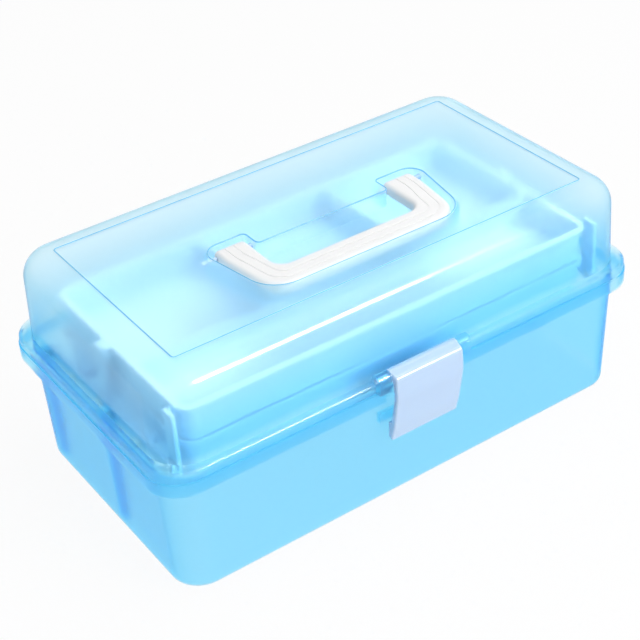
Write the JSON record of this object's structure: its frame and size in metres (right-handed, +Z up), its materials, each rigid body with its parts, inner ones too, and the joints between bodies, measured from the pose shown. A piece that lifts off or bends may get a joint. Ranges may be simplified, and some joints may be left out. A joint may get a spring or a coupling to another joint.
{
  "type": "art supply box",
  "caption": "Translucent art supply box with a domed lid, folding carry handle, front clip and cascading trays that rise on side arms as the lid opens.",
  "frame": {"origin": "centre of the base's flat bottom face", "axes": "+X along the box to the right seen from the latch, +Y to the hinge side, +Z up"},
  "size_m": [0.33, 0.199, 0.142],
  "materials": {
    "blue_plastic": "translucent, smooth moulded",
    "tray_plastic": "translucent, smooth moulded",
    "white_plastic": "satin moulded"
  },
  "bodies": {
    "base": {"base": "blue_plastic", "left_hinge_pin": "white_plastic", "right_hinge_pin": "white_plastic", "left_front_base_peg": "white_plastic", "left_rear_base_peg": "white_plastic", "right_front_base_peg": "white_plastic", "right_rear_base_peg": "white_plastic"},
    "lid": {"lid": "blue_plastic", "latch_pin": "white_plastic", "left_handle_pin": "white_plastic", "right_handle_pin": "white_plastic"},
    "latch": {"latch": "white_plastic"},
    "handle": {"handle": "white_plastic"},
    "lower_tray": {"lower_tray": "tray_plastic", "left_front_lower_peg": "white_plastic", "left_rear_lower_peg": "white_plastic", "right_front_lower_peg": "white_plastic", "right_rear_lower_peg": "white_plastic"},
    "upper_tray": {"upper_tray": "tray_plastic", "left_front_upper_peg": "white_plastic", "left_rear_upper_peg": "white_plastic", "right_front_upper_peg": "white_plastic", "right_rear_upper_peg": "white_plastic"},
    "left_front_arm": {"left_front_arm": "tray_plastic"},
    "left_rear_arm": {"left_rear_arm": "tray_plastic"},
    "right_front_arm": {"right_front_arm": "tray_plastic"},
    "right_rear_arm": {"right_rear_arm": "tray_plastic"}
  },
  "joints": [
    {"name": "lid_hinge", "type": "hinge", "parent": "base", "child": "lid", "pos_m": [0, 0.096, 0.08215], "axis": [-1, 0, 0], "range_deg": [0, 100]},
    {"name": "latch_pivot", "type": "hinge", "parent": "lid", "child": "latch", "pos_m": [0, -0.091, 0.0905], "axis": [-1, 0, 0], "range_deg": [0, 100]},
    {"name": "handle_pivot", "type": "hinge", "parent": "lid", "child": "handle", "pos_m": [0, 0.004, 0.1372], "axis": [-1, 0, 0], "range_deg": [0, 95]},
    {"name": "left_front_arm_pivot", "type": "hinge", "parent": "base", "child": "left_front_arm", "pos_m": [-0.148, -0.008, 0.076], "axis": [-1, 0, 0], "range_deg": [0, 80]},
    {"name": "left_rear_arm_pivot", "type": "hinge", "parent": "base", "child": "left_rear_arm", "pos_m": [-0.148, 0.066, 0.076], "axis": [-1, 0, 0], "range_deg": [0, 80]},
    {"name": "right_front_arm_pivot", "type": "hinge", "parent": "base", "child": "right_front_arm", "pos_m": [0.148, -0.008, 0.076], "axis": [-1, 0, 0], "range_deg": [0, 80]},
    {"name": "right_rear_arm_pivot", "type": "hinge", "parent": "base", "child": "right_rear_arm", "pos_m": [0.148, 0.066, 0.076], "axis": [-1, 0, 0], "range_deg": [0, 80]},
    {"name": "lower_tray_pivot", "type": "hinge", "parent": "left_rear_arm", "child": "lower_tray", "pos_m": [-0.148, 0.036, 0.076], "axis": [-1, 0, 0], "range_deg": [-80, 0]},
    {"name": "upper_tray_pivot", "type": "hinge", "parent": "left_rear_arm", "child": "upper_tray", "pos_m": [-0.148, 0.006, 0.076], "axis": [-1, 0, 0], "range_deg": [-80, 0]}
  ],
  "couplings": [
    {"joint": "left_front_arm_pivot", "follows": "lid_hinge", "ratio": 0.8},
    {"joint": "left_rear_arm_pivot", "follows": "lid_hinge", "ratio": 0.8},
    {"joint": "right_front_arm_pivot", "follows": "lid_hinge", "ratio": 0.8},
    {"joint": "right_rear_arm_pivot", "follows": "lid_hinge", "ratio": 0.8},
    {"joint": "lower_tray_pivot", "follows": "lid_hinge", "ratio": -0.8},
    {"joint": "upper_tray_pivot", "follows": "lid_hinge", "ratio": -0.8}
  ]
}
